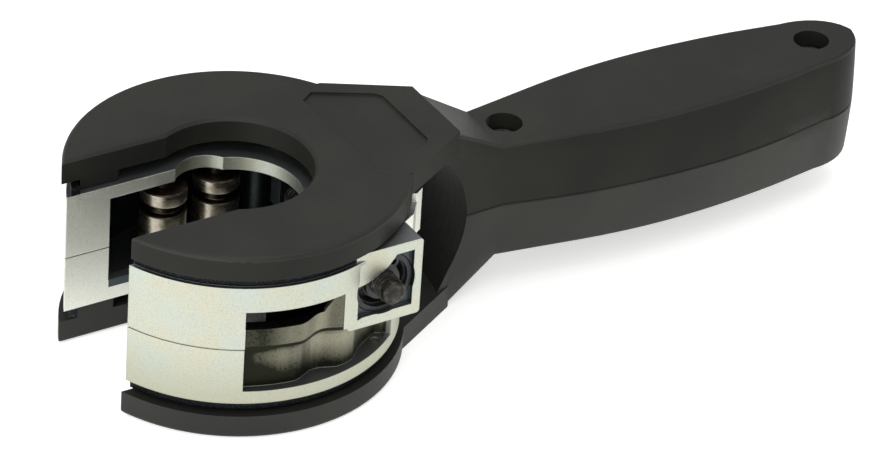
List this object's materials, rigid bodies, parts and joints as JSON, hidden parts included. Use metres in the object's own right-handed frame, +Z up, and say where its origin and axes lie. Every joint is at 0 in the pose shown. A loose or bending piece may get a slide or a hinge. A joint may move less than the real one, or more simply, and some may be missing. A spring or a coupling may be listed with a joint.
{
  "type": "ratcheting pipe cutter",
  "caption": "C-shaped pipe cutter whose metal head turns by a ratchet between the plates of a moulded handle, with a screw-fed cutter wheel facing two rollers.",
  "frame": {"origin": "centre of the head's throat on its turning axis, halfway between the two outer plate faces", "axes": "+X from the throat along the handle, +Z up out of the upper plate along the head's turning axis, -Y the side of the feed knob"},
  "size_m": [0.1993, 0.0781, 0.047],
  "materials": {
    "moulded_nylon": "matte moulded glass-filled nylon",
    "knob_nylon": "matte moulded nylon",
    "plated_zinc": "die-cast zinc, bright plated, faintly yellow",
    "roller_steel": "ground steel",
    "hard_steel": "hardened tool steel",
    "black_oxide": "black-oxide steel",
    "bright_screw": "bright zinc-plated steel"
  },
  "bodies": {
    "handle": {"handle_shell_upper": "moulded_nylon", "handle_shell_lower": "moulded_nylon", "handle_screw_front": "bright_screw", "handle_screw_rear": "bright_screw", "pawl_spring_left": "bright_screw", "pawl_spring_right": "bright_screw"},
    "pawl_left": {"ratchet_pawl_left": "hard_steel"},
    "pawl_right": {"ratchet_pawl_right": "hard_steel"},
    "head": {"head_half_upper": "plated_zinc", "head_half_lower": "plated_zinc", "head_screws": "bright_screw", "head_dowels": "bright_screw", "roller_pin_outer": "bright_screw", "roller_pin_inner": "bright_screw"},
    "roller_outer": {"roller_outer": "roller_steel"},
    "roller_inner": {"roller_inner": "roller_steel"},
    "feed": {"feed_screw": "black_oxide", "feed_knob": "knob_nylon", "knob_pin": "bright_screw", "thrust_washer": "bright_screw", "retaining_ring": "black_oxide"},
    "carriage": {"wheel_carriage": "black_oxide", "wheel_pin": "bright_screw"},
    "cutter_wheel": {"cutter_wheel": "hard_steel"}
  },
  "joints": [
    {"name": "head_turn", "type": "hinge", "parent": "handle", "child": "head", "pos_m": [0, 0, 0], "axis": [0, 0, 1], "continuous": true},
    {"name": "pawl_left_slide", "type": "slide", "parent": "handle", "child": "pawl_left", "axis": [-0.788, -0.6157, 0], "range_m": [0, 0.001], "stiffness_N_per_m": 150, "springref_m": -0.003, "deforming": ["pawl_spring_left"]},
    {"name": "pawl_right_slide", "type": "slide", "parent": "handle", "child": "pawl_right", "axis": [-0.788, 0.6157, 0], "range_m": [0, 0.001], "stiffness_N_per_m": 150, "springref_m": -0.003, "deforming": ["pawl_spring_right"]},
    {"name": "roller_outer_spin", "type": "hinge", "parent": "head", "child": "roller_outer", "pos_m": [-0.0083, 0.0179, 0], "axis": [0, 0, 1], "continuous": true},
    {"name": "roller_inner_spin", "type": "hinge", "parent": "head", "child": "roller_inner", "pos_m": [0.005, 0.0179, 0], "axis": [0, 0, 1], "continuous": true},
    {"name": "feed_turn", "type": "hinge", "parent": "head", "child": "feed", "pos_m": [0.0177, -0.0324, 0.0072], "axis": [0, 1, 0], "range_deg": [0, 7560]},
    {"name": "carriage_slide", "type": "slide", "parent": "head", "child": "carriage", "axis": [0, 1, 0], "range_m": [0, 0.021]},
    {"name": "cutter_wheel_spin", "type": "hinge", "parent": "carriage", "child": "cutter_wheel", "pos_m": [-0.00165, -0.0189, 0.0049], "axis": [0, 0, 1], "continuous": true}
  ],
  "couplings": [
    {"joint": "feed_turn", "follows": "carriage_slide", "rad_per_m": 6283.2}
  ]
}
